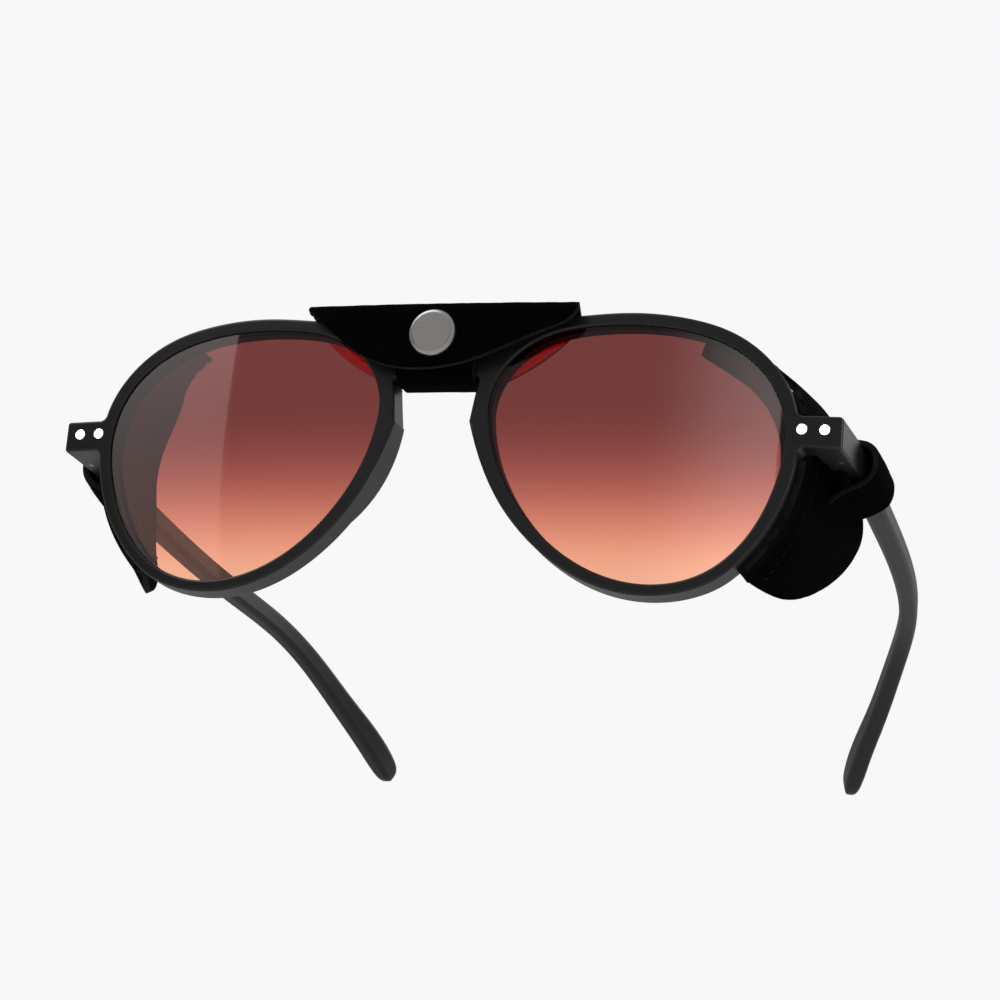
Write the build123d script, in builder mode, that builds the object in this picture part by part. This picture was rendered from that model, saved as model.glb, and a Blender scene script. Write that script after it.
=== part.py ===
from build123d import *
import os

# Glacier glasses: a moulded aviator front, two folding temples, and removable leather on the nose and sides.
# Millimetres. The origin is the middle of the nose gap, on the front surface, at the height of the rivets.
# +X runs to the wearer's left, the front faces -Y, the temples run back along +Y, and +Z is up.

# ---- driving dimensions: front ----
BOW_ACROSS = 555.0          # radius of the front's bow from side to side
BOW_UPRIGHT = 385.0         # radius of the front's bow from top to bottom
FRONT_DEPTH = 5.4           # front surface to rear surface of the rims
EDGE_ROUND = 0.45           # rounding of the rims' front and rear edges
LENS_SET_BACK = 0.6         # lens behind the front surface
LENS_THICK = 2.0
LENS_GROOVE = 0.7           # how far a lens reaches into its rim
GROOVE_CLEAR = 0.04
LUG_TOP = 2.5
LUG_BOTTOM = -3.15
LUG_REAR = 18.7
RIVET_X = (65.7, 69.6)
RIVET_RADIUS = 0.92
RIVET_LENGTH = 4.2
BRIDGE_TOP = 19.0
BRIDGE_UNDER = 9.0
BRIDGE_HALF = 7.2           # half of the straight stretch under the bridge
BRIDGE_CORNER = 0.8

# ---- driving dimensions: nose pads, low crowns standing out behind the rims ----
PAD_MIDDLE_Z = -8.0
PAD_HALF_HEIGHT = 9.0
PAD_HALF_WIDTH = 18.0       # from the middle of the front to the pads' outer ends
PAD_REAR = 7.3              # the crowns' highest places, behind the middle of the front surface
PAD_CROWN = 22.0            # radius of the crowns, seen from the side
PAD_FROM_LENS = 1.1

# ---- driving dimensions: temples ----
TEMPLE_ROUND = 0.3          # corner radius, as a share of the thickness

# ---- driving dimensions: hinges ----
HINGE_X = 68.75
HINGE_Y = 18.6
BARREL_RADIUS = 1.45
BARREL_POCKET = 1.65
PLATE_THICK = 0.9
PLATE_CLEAR = 0.05
KNUCKLES = (-2.4, -1.0, -0.9, 0.45, 0.55, 1.95)   # lower, middle and upper knuckle, bottom and top of each
SCREW_RADIUS = 0.60
SCREW_CLEAR = 0.04
SCREW_HEAD_RADIUS = 1.15
SCREW_HEAD = 0.6
SCREW_SLOT = (0.35, 0.25)   # width and depth of the screwdriver's slot
SCREW_TIP = 0.35            # how far the screw stands out under its barrel
ANCHOR_PIN_RADIUS = 0.5
ANCHOR_PIN_AT = (71.0, 13.5)
ANCHOR_PIN_LENGTH = 4.6
ANCHOR_BOTTOM, ANCHOR_TOP = -0.6, 0.4
ANCHOR_MIDDLE_X = 69.9      # middle of the leaf's arm that the anchor pin goes through
ANCHOR_ARM = (4.0, 2.2)
FRONT_LEAF = [(67.45, 10.4), (68.75, 17.6)]      # middle of the leaf's plate, seen from above
TEMPLE_LEAF = [(70.0, 19.3), (70.75, 29.5)]
TEMPLE_LEAF_BOTTOM, TEMPLE_LEAF_TOP = -2.0, 0.45

# ---- driving dimensions: leather ----
LEATHER = 1.2
FLAP_FACE = -3.5            # outer face of the closed nose flap
FLAP_BACK = 8.8             # outer face of the back flap
FOLD_TOP = 22.4
FLAP_HALF_WIDTH = 25.3
FLAP_TIP = 9.8
FLAP_SPLIT = 20.2           # the front flap bends over the snap above this height
FOLD_CORNER = 3.2           # how far the fold's corners round over, front and back
LINING = 0.5
TAB_HALF_WIDTH = 7.3
TAB_UNDER = 7.6
SNAP_Z = 15.8
CAP_RADIUS = 4.35
CAP_THICK = 1.15
CAP_ROUND = 0.9
SNAP_POST_RADIUS = 1.0
STUD_POST_RADIUS = 0.8
TAB_FRONT = -1.3            # outer face of the tab, in front of the bridge
TAB_TOP_FRONT = 19.2
TAB_TOP_REAR = 14.0
TAB_BEND = 1.9
HEM_FRONT = 3.0             # how far behind the front surface the shield's hem starts on the rim's side
HEM_REAR = 6.65
HEM_OVER_LENS = 1.4
BINDING_WIDTH = 5.5
BINDING_THICK = 0.8
SEAM_FROM_HEM = 3.4
SEAM_START, SEAM_END = 0.06, 0.90    # share of the way down the shield's hem
STITCHES = 18
STITCH_LENGTH = 1.7
THREAD_RADIUS = 0.2
HEM_LUG_GAP = (64.6, 1.0)   # where the hem's notch for the lug starts, and how much taller than the lug it is
HEM_LIP_GAP = 2.5           # how much taller than the lug the gap in the hem's lip is
HEM_SPAN = (0.16, 0.66)     # part of the rim's outline that the hem is drawn along
STRAP_FRONT = 20.5
STRAP_REAR = 31.5
STRAP_BEND = 1.5

FAR = 60.0                  # longer than any profile needs to be

os.makedirs("parts", exist_ok=True)


def save(builder, name):
    """Names a finished piece and writes it."""
    builder.part.label = name
    export_step(builder.part, f"parts/{name}.step")


def save_pair(builder, name):
    """Writes a piece made for the wearer's left side, and its mirror image for the right side."""
    with BuildPart() as other:
        add(builder.part)
        mirror(about=Plane.YZ, mode=Mode.REPLACE)
    save(builder, f"{name}_left")
    save(other, f"{name}_right")


def bow(x, z):
    """How far the front surface lies behind the bridge at a place on the front."""
    return x**2 / (2 * BOW_ACROSS) + z**2 / (2 * BOW_UPRIGHT)


def bowed_sheet(front, rear):
    """A sheet with the front's bow, between two distances behind the front surface."""
    top, bottom = 34.0, -44.0
    with BuildPart() as sheet:
        with BuildSketch(Plane.YZ):
            with BuildLine():
                at_top, at_bottom = bow(0, top), bow(0, bottom)
                face = ThreePointArc((front + at_bottom, bottom), (front, 0), (front + at_top, top))
                back = ThreePointArc((rear + at_bottom, bottom), (rear, 0), (rear + at_top, top))
                Line(face @ 1, back @ 1)
                Line(face @ 0, back @ 0)
            make_face()
        revolve(axis=Axis((0, BOW_ACROSS, 0), (0, 0, 1)))
    return sheet.part


def through(sketch):
    """A profile on the front, extruded right through the front from before it to behind it."""
    with BuildPart() as prism:
        with BuildSketch(Plane.XZ.offset(FAR / 2)):
            add(sketch.sketch_local)
        extrude(amount=-FAR)
    return prism.part


# ---- outlines on the front, seen from before it ----
OPENING = [
    (10.35, 1.5), (12.4, 10.4), (19.2, 16.3), (28.1, 18.4), (36.5, 18.65), (45.4, 17.45), (53.4, 14.3),
    (59.6, 8.6), (62.7, 0.3), (61.7, -9.4), (56.6, -20.1), (50.2, -25.7), (41.0, -28.0), (31.0, -26.0),
    (21.0, -19.3), (13.5, -9.0),
]
RIM_TOP = [(0, BRIDGE_TOP), (13.0, 19.2), (25.0, 20.35), (35.0, 21.0), (44.3, 20.1), (53.1, 17.3), (60.4, 11.5)]
RIM_SIDE = [(64.1, 5.0), (65.1, -2.0), (64.0, -10.0), (61.0, -17.3), (57.4, -22.4), (53.2, -26.4)]
RIM_UNDER = [(47.7, -29.0), (41.0, -30.05), (34.5, -29.4), (26.4, -26.2), (19.3, -20.9), (13.3, -13.8)]
NOSE = [(8.9, -5.2), (6.9, 0.7)]
NOSE_UPPER = (7.9, 8.3)
LENS_MIDDLE = (38.0, -5.0)
WITHIN_LENS = (25.0, -5.0)

with BuildSketch(Plane.XZ) as opening:
    with BuildLine():
        opening_edge = Spline(OPENING, periodic=True)
    make_face()

with BuildSketch(Plane.XZ) as rim_outline:
    with BuildLine():
        rim_edge = Spline(RIM_TOP + RIM_SIDE + RIM_UNDER + NOSE)
        Line(NOSE[-1], NOSE_UPPER)
        RadiusArc(NOSE_UPPER, (BRIDGE_HALF, BRIDGE_UNDER), -BRIDGE_CORNER)
        Line((BRIDGE_HALF, BRIDGE_UNDER), (0, BRIDGE_UNDER))
        Line((0, BRIDGE_UNDER), (0, BRIDGE_TOP))
    make_face()


def beside(curve, distance, start, end, count):
    """Points along part of a curve, set off to the left of its direction by a distance."""
    places = [start + (end - start) * step / count for step in range(count + 1)]
    return [curve @ place + (curve % place).rotate(Axis.Z, 90) * distance for place in places]


def opening_grown(distance):
    """The lens opening made larger by a distance all round."""
    with BuildSketch(Plane.XZ) as grown:
        with BuildLine():
            Spline(beside(opening_edge, distance, 0, 1, 32)[:-1], periodic=True)
        make_face()
    return grown


lens_edge = opening_grown(LENS_GROOVE)
groove = opening_grown(LENS_GROOVE + GROOVE_CLEAR)

with BuildSketch(Plane.XZ) as end_piece:
    with Locations((68.0, (LUG_TOP + LUG_BOTTOM) / 2)):
        Rectangle(9.0, LUG_TOP - LUG_BOTTOM)
    add(rim_outline.sketch_local)
    corners = end_piece.vertices().filter_by(lambda v: 62.5 < v.X < 67.0 and abs(v.Y) < 6)
    fillet(corners, 1.3)
    fillet(end_piece.vertices().filter_by(lambda v: v.X > 72), 0.5)

# Each station is the middle of the temple's section, its height and its thickness.
TEMPLE = [
    ((71.55, 19.0, -0.45), 5.3, 3.2),
    ((72.0, 23.0, -1.1), 5.0, 3.7),
    ((72.45, 30.0, -2.5), 4.7, 4.1),
    ((72.5, 42.0, -3.85), 4.5, 4.2),
    ((72.35, 60.0, -5.4), 4.4, 4.0),
    ((71.3, 80.0, -7.25), 4.4, 3.7),
    ((69.2, 95.0, -9.0), 4.4, 3.5),
    ((66.7, 105.0, -11.2), 4.4, 3.4),
    ((62.95, 115.0, -15.9), 4.5, 3.4),
    ((58.1, 125.0, -23.4), 4.9, 3.5),
    ((54.1, 132.0, -29.5), 5.5, 3.6),
    ((51.9, 136.4, -33.6), 5.2, 3.4),
    ((51.0, 138.3, -35.4), 3.9, 2.4),
    ((50.7, 139.0, -36.0), 2.0, 1.2),
]

# The side shield's edge along its hem, seen from the front, and its free edge, from the top to the bottom.
SHIELD_FRONT = [
    (53.0, 17.6), (57.6, 14.6), (61.7, 10.4), (64.4, 5.5), (65.5, 0), (65.6, -4.0), (64.7, -10.0), (62.3, -17.0),
    (59.0, -22.0), (56.0, -25.0),
]
SHIELD_REAR = [
    (54.9, 19.0, 17.4), (58.4, 23.0, 16.1), (61.8, 28.6, 14.0), (64.4, 32.0, 11.5), (66.3, 33.3, 8.0),
    (67.7, 34.2, 4.0), (68.9, 36.4, 0), (69.8, 39.6, -4.0), (70.0, 41.0, -8.0), (69.2, 40.2, -12.0),
    (67.4, 38.0, -16.2), (65.2, 34.0, -20.0), (62.6, 27.5, -23.7), (60.0, 20.0, -25.8), (57.3, 12.5, -25.7),
]
HEM_SECTOR = [(47.2, 30), (90, 30), (90, -39), (62, -28.0), (47.2, -21.9)]
# The middle of the strap that holds the shield to the temple, seen from the front.
STRAP = [(69.4, -10.4), (72.8, -7.4), (75.9, -6.0), (75.9, 1.6), (74.0, 2.9), (69.0, 4.4)]

# ---- front frame ----
LUG_PLAN = [(63.5, 2.0), (72.5, 2.0), (73.0, LUG_REAR), (69.0, LUG_REAR), (67.35, 9.4), (63.5, 8.4)]

with BuildPart() as lug:
    with BuildSketch(Plane.XY.offset(LUG_BOTTOM)):
        with BuildLine():
            Polyline(*LUG_PLAN, close=True)
        make_face()
    extrude(amount=LUG_TOP - LUG_BOTTOM)
    add(bowed_sheet(2 * EDGE_ROUND, FAR / 2), mode=Mode.INTERSECT)
    fillet(lug.edges().filter_by(lambda e: e.bounding_box().min.X > 72.2 and e.length > 8), 0.5)

with BuildPart() as nose_pad:
    with BuildSketch(Plane.XZ) as pad_plan:
        add(rim_outline.sketch_local)
        add(opening_grown(PAD_FROM_LENS).sketch_local, mode=Mode.SUBTRACT)
        with Locations((0, PAD_MIDDLE_Z)):
            Rectangle(2 * PAD_HALF_WIDTH, 2 * PAD_HALF_HEIGHT, mode=Mode.INTERSECT)
    extrude(amount=-FRONT_DEPTH - PAD_REAR)
    add(bowed_sheet(3.0, FAR / 2), mode=Mode.INTERSECT)
    with Locations(Plane(origin=(0, PAD_REAR - PAD_CROWN, PAD_MIDDLE_Z), z_dir=(1, 0, 0))):
        Cylinder(PAD_CROWN, FAR, mode=Mode.INTERSECT)

with BuildPart() as hinge_pocket:
    with BuildSketch(Plane.XY.offset(KNUCKLES[0] - PLATE_CLEAR)):
        with BuildLine():
            Line(*FRONT_LEAF)
        trace(line_width=PLATE_THICK + 2 * PLATE_CLEAR)
    extrude(amount=KNUCKLES[-1] - KNUCKLES[0] + 2 * PLATE_CLEAR)
    with BuildSketch(Plane.XY.offset(LUG_BOTTOM - 1)):
        with Locations((HINGE_X, HINGE_Y)):
            Circle(BARREL_POCKET)
    extrude(amount=LUG_TOP - LUG_BOTTOM + 2)

with BuildPart() as anchor_pocket:
    with BuildSketch(Plane.XY.offset(ANCHOR_BOTTOM - PLATE_CLEAR)):
        with Locations((ANCHOR_MIDDLE_X, ANCHOR_PIN_AT[1])):
            Rectangle(ANCHOR_ARM[0] + 2 * PLATE_CLEAR, ANCHOR_ARM[1] + 2 * PLATE_CLEAR)
    extrude(amount=ANCHOR_TOP - ANCHOR_BOTTOM + 2 * PLATE_CLEAR)
    with BuildSketch(Plane.XY.offset(LUG_BOTTOM - 1)):
        with Locations(ANCHOR_PIN_AT):
            Circle(ANCHOR_PIN_RADIUS)
    extrude(amount=ANCHOR_PIN_LENGTH + 1)

with BuildPart() as groove_ring:
    add(through(groove))
    add(bowed_sheet(LENS_SET_BACK - GROOVE_CLEAR, LENS_SET_BACK + LENS_THICK + GROOVE_CLEAR), mode=Mode.INTERSECT)

with BuildPart() as rivet_holes:
    for rivet_x in RIVET_X:
        with BuildSketch(Plane.XZ):
            with Locations((rivet_x, 0)):
                Circle(RIVET_RADIUS)
        extrude(amount=-(bow(rivet_x, 0) + RIVET_LENGTH))


def lies_on_sheet(edge, distance):
    """Whether an edge runs along the bowed surface that lies a distance behind the front surface."""
    places = [edge @ 0, edge @ 0.3, edge @ 0.7, edge @ 1]
    return all(abs(place.Y - distance - bow(place.X, place.Z)) < 0.15 for place in places)


with BuildPart() as front_half:
    add(through(end_piece))
    add(bowed_sheet(0, FRONT_DEPTH), mode=Mode.INTERSECT)
    add(through(opening), mode=Mode.SUBTRACT)
    outline_edges = front_half.edges().filter_by(lambda e: e.center().X > 0.1)
    fillet(outline_edges.filter_by(lambda e: lies_on_sheet(e, 0) or lies_on_sheet(e, FRONT_DEPTH)), EDGE_ROUND)
    add(lug.part)
    add(nose_pad.part)
    add(groove_ring.part, mode=Mode.SUBTRACT)
    add([hinge_pocket.part, anchor_pocket.part, rivet_holes.part], mode=Mode.SUBTRACT)

with BuildPart() as front_frame:
    add(front_half.part)
    mirror(about=Plane.YZ)
save(front_frame, "front_frame")

# ---- lenses ----
with BuildPart() as lens:
    add(through(lens_edge))
    add(bowed_sheet(LENS_SET_BACK, LENS_SET_BACK + LENS_THICK), mode=Mode.INTERSECT)
save_pair(lens, "lens")

# ---- rivets ----
with BuildPart() as rivets:
    for rivet_x in RIVET_X:
        with BuildSketch(Plane.XZ.offset(-bow(rivet_x, 0))):
            with Locations((rivet_x, 0)):
                Circle(RIVET_RADIUS)
        extrude(amount=-RIVET_LENGTH)
save_pair(rivets, "front_rivets")

# ---- hinges ----
LOWER_BOTTOM, LOWER_TOP, MIDDLE_BOTTOM, MIDDLE_TOP, UPPER_BOTTOM, UPPER_TOP = KNUCKLES


def knuckle(bottom, top, radius=BARREL_RADIUS):
    """One round section of a hinge barrel."""
    with BuildPart() as section:
        with BuildSketch(Plane.XY.offset(bottom)):
            with Locations((HINGE_X, HINGE_Y)):
                Circle(radius)
        extrude(amount=top - bottom)
    return section.part


with BuildPart() as front_leaf:
    with BuildSketch(Plane.XY.offset(LOWER_BOTTOM)):
        with BuildLine():
            Line(*FRONT_LEAF)
        trace(line_width=PLATE_THICK)
    extrude(amount=UPPER_TOP - LOWER_BOTTOM)
    with BuildSketch(Plane.XY.offset(ANCHOR_BOTTOM)):
        with Locations((ANCHOR_MIDDLE_X, ANCHOR_PIN_AT[1])):
            Rectangle(*ANCHOR_ARM)
    extrude(amount=ANCHOR_TOP - ANCHOR_BOTTOM)
    add(knuckle(LOWER_TOP, UPPER_BOTTOM, BARREL_POCKET), mode=Mode.SUBTRACT)
    add([knuckle(LOWER_BOTTOM, LOWER_TOP), knuckle(UPPER_BOTTOM, UPPER_TOP)])
    add(knuckle(LOWER_BOTTOM - 1, UPPER_TOP + 1, SCREW_RADIUS + SCREW_CLEAR), mode=Mode.SUBTRACT)
    with BuildSketch(Plane.XY.offset(LOWER_BOTTOM)):
        with Locations(ANCHOR_PIN_AT):
            Circle(ANCHOR_PIN_RADIUS)
    extrude(amount=FAR / 8, mode=Mode.SUBTRACT)
save_pair(front_leaf, "hinge_front_leaf")

with BuildPart() as temple_leaf:
    with BuildSketch(Plane.XY.offset(TEMPLE_LEAF_BOTTOM)):
        with BuildLine():
            Line(*TEMPLE_LEAF)
        trace(line_width=PLATE_THICK)
    extrude(amount=TEMPLE_LEAF_TOP - TEMPLE_LEAF_BOTTOM)
    add(knuckle(LOWER_BOTTOM, MIDDLE_BOTTOM, BARREL_POCKET), mode=Mode.SUBTRACT)
    add(knuckle(MIDDLE_BOTTOM, MIDDLE_TOP))
    add(knuckle(LOWER_BOTTOM, UPPER_TOP, SCREW_RADIUS + SCREW_CLEAR), mode=Mode.SUBTRACT)
save_pair(temple_leaf, "hinge_temple_leaf")

with BuildPart() as hinge_screw:
    add(knuckle(LOWER_BOTTOM - SCREW_TIP, UPPER_TOP + PLATE_CLEAR, SCREW_RADIUS))
    add(knuckle(UPPER_TOP + PLATE_CLEAR, UPPER_TOP + PLATE_CLEAR + SCREW_HEAD, SCREW_HEAD_RADIUS))
    chamfer(hinge_screw.faces().sort_by(Axis.Z)[-1].edges(), 0.15)
    with Locations((HINGE_X, HINGE_Y, UPPER_TOP + PLATE_CLEAR + SCREW_HEAD)):
        Box(4 * SCREW_HEAD_RADIUS, SCREW_SLOT[0], 2 * SCREW_SLOT[1], mode=Mode.SUBTRACT)
save_pair(hinge_screw, "hinge_screw")

with BuildPart() as anchor_pin:
    with BuildSketch(Plane.XY.offset(LUG_BOTTOM)):
        with Locations(ANCHOR_PIN_AT):
            Circle(ANCHOR_PIN_RADIUS)
    extrude(amount=ANCHOR_PIN_LENGTH)
save_pair(anchor_pin, "hinge_anchor_pin")

# ---- temples ----


def temple_planes():
    """A plane square to the temple's line at each station, with its x axis level."""
    middles = [Vector(*middle) for middle, height, thickness in TEMPLE]
    planes = [Plane(origin=middles[0], x_dir=(1, 0, 0), z_dir=(0, 1, 0))]
    for before, middle, after in zip(middles, middles[1:], middles[2:] + [middles[-1]]):
        along = (after - before).normalized()
        level = along.cross(Vector(0, 0, 1)).normalized()
        planes.append(Plane(origin=middle, x_dir=level, z_dir=along))
    return planes


with BuildPart() as temple:
    for plane, (middle, height, thickness) in zip(temple_planes(), TEMPLE):
        with BuildSketch(plane):
            RectangleRounded(thickness, height, TEMPLE_ROUND * thickness)
    loft()
    with BuildSketch(Plane.XY.offset(TEMPLE_LEAF_BOTTOM - PLATE_CLEAR)):
        with BuildLine():
            Line(*TEMPLE_LEAF)
        trace(line_width=PLATE_THICK + 2 * PLATE_CLEAR)
    extrude(amount=TEMPLE_LEAF_TOP - TEMPLE_LEAF_BOTTOM + 2 * PLATE_CLEAR, mode=Mode.SUBTRACT)
    add(knuckle(-FAR / 4, FAR / 4, BARREL_POCKET), mode=Mode.SUBTRACT)
save_pair(temple, "temple")

# ---- nose leather: a half-moon folded over the brow, buttoned to a tab that comes under the bridge ----
FOLD_Y = (FLAP_BACK + FLAP_FACE) / 2

with BuildSketch(Plane.XZ) as half_moon:
    with BuildLine():
        Spline((-24.7, 20.0), (-15.9, 14.3), (0, FLAP_TIP), (15.9, 14.3), (24.7, 20.0))
        Line((24.7, 20.0), (FLAP_HALF_WIDTH, FOLD_TOP + 1))
        Line((FLAP_HALF_WIDTH, FOLD_TOP + 1), (-FLAP_HALF_WIDTH, FOLD_TOP + 1))
        Line((-FLAP_HALF_WIDTH, FOLD_TOP + 1), (-24.7, 20.0))
    make_face()


def folded_layer(outer, inner):
    """A layer of the folded leather, between two depths in from its outside, cut to the half moon."""
    with BuildPart() as layer:
        with BuildSketch(Plane.YZ.offset(-FAR / 2)):
            for depth, mode in ((outer, Mode.ADD), (inner, Mode.SUBTRACT)):
                with Locations((FOLD_Y, FOLD_TOP - depth - FAR / 4)):
                    RectangleRounded(FLAP_BACK - FLAP_FACE - 2 * depth, FAR / 2, FOLD_CORNER - depth, mode=mode)
        extrude(amount=FAR)
        add(through(half_moon), mode=Mode.INTERSECT)
    return layer.part


def front_space(top):
    """The space before the bridge, below a height."""
    with BuildPart() as space:
        with BuildSketch(Plane.XZ.offset(-FLAP_FACE - LEATHER - 1)):
            with Locations((0, top)):
                Rectangle(FAR, FAR / 2, align=(Align.CENTER, Align.MAX))
        extrude(amount=FAR / 4)
    return space.part


with BuildPart() as nose_cover:
    add(folded_layer(0, LEATHER))
    add(front_space(FLAP_SPLIT + 0.1), mode=Mode.SUBTRACT)
save(nose_cover, "nose_cover")

with BuildPart() as nose_flap:
    add(folded_layer(0, LEATHER))
    add(front_space(FLAP_SPLIT), mode=Mode.INTERSECT)
    with BuildSketch(Plane.XZ):
        with Locations((0, SNAP_Z)):
            Circle(SNAP_POST_RADIUS)
    extrude(amount=FAR / 4, mode=Mode.SUBTRACT)
save(nose_flap, "nose_flap")

with BuildPart() as nose_lining:
    add(folded_layer(LEATHER + PLATE_CLEAR, LEATHER + LINING))
    with BuildSketch(Plane.XZ.offset(-FOLD_Y - 2.2)):
        Rectangle(FAR * 2, FAR * 2)
    extrude(amount=FAR, mode=Mode.SUBTRACT)
save(nose_lining, "nose_lining")

TAB_REAR = FLAP_BACK - LEATHER - LINING - PLATE_CLEAR
with BuildPart() as nose_tab:
    with BuildSketch(Plane.YZ.offset(-TAB_HALF_WIDTH)):
        with BuildLine():
            FilletPolyline(
                (TAB_FRONT + LEATHER / 2, TAB_TOP_FRONT),
                (TAB_FRONT + LEATHER / 2, TAB_UNDER + LEATHER / 2),
                (TAB_REAR - LEATHER / 2, TAB_UNDER + LEATHER / 2),
                (TAB_REAR - LEATHER / 2, TAB_TOP_REAR),
                radius=TAB_BEND,
            )
        trace(line_width=LEATHER)
    extrude(amount=2 * TAB_HALF_WIDTH)
    with BuildSketch(Plane.XZ.offset(-TAB_FRONT - LEATHER - 1)):
        with Locations((0, SNAP_Z)):
            Circle(STUD_POST_RADIUS)
    extrude(amount=FAR / 4, mode=Mode.SUBTRACT)
save(nose_tab, "nose_tab")

# ---- snap fastener ----


def turned(*profile):
    """A round piece about the snap's axis. Each point of its profile is (radius, place along Y)."""
    with BuildPart() as piece:
        with BuildSketch(Plane.XY.offset(SNAP_Z)):
            with BuildLine():
                Polyline(*profile, close=True)
            make_face()
        revolve(axis=Axis((0, 0, SNAP_Z), (0, 1, 0)))
    return piece


CAP_BACK = FLAP_FACE - PLATE_CLEAR
SOCKET_SEAT = FLAP_FACE + LEATHER + PLATE_CLEAR
STUD_SEAT = TAB_FRONT - PLATE_CLEAR

cap_blank = turned(
    (0, CAP_BACK - CAP_THICK), (CAP_RADIUS, CAP_BACK - CAP_THICK), (CAP_RADIUS, CAP_BACK),
    (0.95, CAP_BACK), (0.95, SOCKET_SEAT + 0.2), (0, SOCKET_SEAT + 0.2),
)
with BuildPart() as snap_cap:
    add(cap_blank.part)
    fillet(snap_cap.faces().sort_by(Axis.Y)[0].edges(), CAP_ROUND)
save(snap_cap, "snap_cap")

snap_socket = turned(
    (1.0, SOCKET_SEAT), (3.2, SOCKET_SEAT), (3.2, SOCKET_SEAT + 0.45), (2.8, SOCKET_SEAT + 0.75),
    (1.9, SOCKET_SEAT + 0.75), (1.9, SOCKET_SEAT + 0.25), (1.0, SOCKET_SEAT + 0.25),
)
save(snap_socket, "snap_socket")

snap_stud = turned(
    (0, STUD_SEAT - 0.55), (1.4, STUD_SEAT - 0.55), (1.6, STUD_SEAT - 0.35), (1.35, STUD_SEAT - 0.15),
    (2.6, STUD_SEAT - 0.08), (2.6, STUD_SEAT), (0.75, STUD_SEAT), (0.75, TAB_FRONT + LEATHER - 0.1),
    (0, TAB_FRONT + LEATHER - 0.1),
)
save(snap_stud, "snap_stud")

# ---- side shields ----


def on_front(x, z, behind):
    """The point on the front at x and z, a distance behind its surface."""
    return (x, bow(x, z) + behind, z)


def towards_lens(point, distance):
    """The point moved level with the front, towards the middle of the lens."""
    x, y, z = point
    inward = (Vector(LENS_MIDDLE[0], 0, LENS_MIDDLE[1]) - Vector(x, 0, z)).normalized()
    return (x + inward.X * distance, y, z + inward.Z * distance)


def skin_between(front, rear):
    """The surface stretched between two curves."""
    with BuildLine() as front_line:
        Spline(front)
    with BuildLine() as rear_line:
        Spline(rear)
    return Face.make_surface_from_curves(front_line.edge(), rear_line.edge())


shield_front = [on_front(x, z, HEM_REAR + 0.1) for x, z in SHIELD_FRONT]
shield_skin = skin_between(shield_front, SHIELD_REAR)   # its outside
with BuildPart() as side_shield:
    thicken(shield_skin, amount=LEATHER, normal_override=(-1, 0, 0))
save_pair(side_shield, "side_shield")

binding_front = [towards_lens(point, LEATHER + 0.25) for point in shield_front]
binding_rear = [(x + 0.15, y + BINDING_WIDTH, z) for x, y, z in binding_front]
with BuildPart() as shield_binding:
    thicken(skin_between(binding_front, binding_rear), amount=BINDING_THICK, normal_override=(-1, 0, 0))
save_pair(shield_binding, "shield_binding")


def rim_grown(distance):
    """The outer half of the rim's outline, made larger by a distance and closed across the lens."""
    with BuildSketch(Plane.XZ) as grown:
        with BuildLine():
            outer = Spline(beside(rim_edge, distance, *HEM_SPAN, 24))
            Polyline(outer @ 1, WITHIN_LENS, outer @ 0)
        make_face()
    return grown


hem_outer = rim_grown(LEATHER)
with BuildSketch(Plane.XZ) as hem_side:
    add(hem_outer.sketch_local)
    add(rim_grown(PLATE_CLEAR).sketch_local, mode=Mode.SUBTRACT)
    with Locations((70.0, (LUG_TOP + LUG_BOTTOM) / 2)):
        Rectangle(16.0, LUG_TOP - LUG_BOTTOM + HEM_LIP_GAP, mode=Mode.SUBTRACT)
with BuildSketch(Plane.XZ) as hem_back:
    add(hem_outer.sketch_local)
    add(opening_grown(-HEM_OVER_LENS).sketch_local, mode=Mode.SUBTRACT)
with BuildSketch(Plane.XZ) as hem_sector:
    with BuildLine():
        Polyline(*HEM_SECTOR, close=True)
    make_face()

with BuildPart() as hem_lip:
    add(through(hem_side))
    add(bowed_sheet(HEM_FRONT, HEM_REAR), mode=Mode.INTERSECT)
with BuildPart() as shield_hem:
    add(through(hem_back))
    add(bowed_sheet(FRONT_DEPTH + PLATE_CLEAR, HEM_REAR), mode=Mode.INTERSECT)
    add(hem_lip.part)
    add(through(hem_sector), mode=Mode.INTERSECT)
    with BuildSketch(Plane.XZ):
        with Locations((HEM_LUG_GAP[0], (LUG_TOP + LUG_BOTTOM) / 2)):
            Rectangle(FAR, LUG_TOP - LUG_BOTTOM + HEM_LUG_GAP[1], align=(Align.MIN, Align.CENTER))
    extrude(amount=-FAR, mode=Mode.SUBTRACT)
save_pair(shield_hem, "shield_hem")

# The seam runs along the shield a little way behind its hem, with the thread lying on the outside.
with BuildPart() as shield_stitching:
    for step in range(STITCHES):
        along = SEAM_START + (SEAM_END - SEAM_START) * step / (STITCHES - 1)
        ruling = shield_skin.position_at(along, 1) - shield_skin.position_at(along, 0)
        across = SEAM_FROM_HEM / ruling.length
        place = shield_skin.position_at(along, across)
        ahead = shield_skin.position_at(along + 0.01, across) - place
        clear = shield_skin.normal_at(along, across) * (THREAD_RADIUS + PLATE_CLEAR)
        with Locations(Plane(origin=place + clear, z_dir=ahead)):
            Cylinder(THREAD_RADIUS, STITCH_LENGTH)
save_pair(shield_stitching, "shield_stitching")

with BuildPart() as shield_loop:
    with BuildSketch(Plane.XZ.offset(-STRAP_REAR)):
        with BuildLine():
            FilletPolyline(*STRAP, radius=STRAP_BEND)
        trace(line_width=LEATHER)
    extrude(amount=STRAP_REAR - STRAP_FRONT)
save_pair(shield_loop, "shield_loop")
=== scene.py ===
import math

import bpy
import numpy as np
from mathutils import Matrix, Vector, noise


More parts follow.
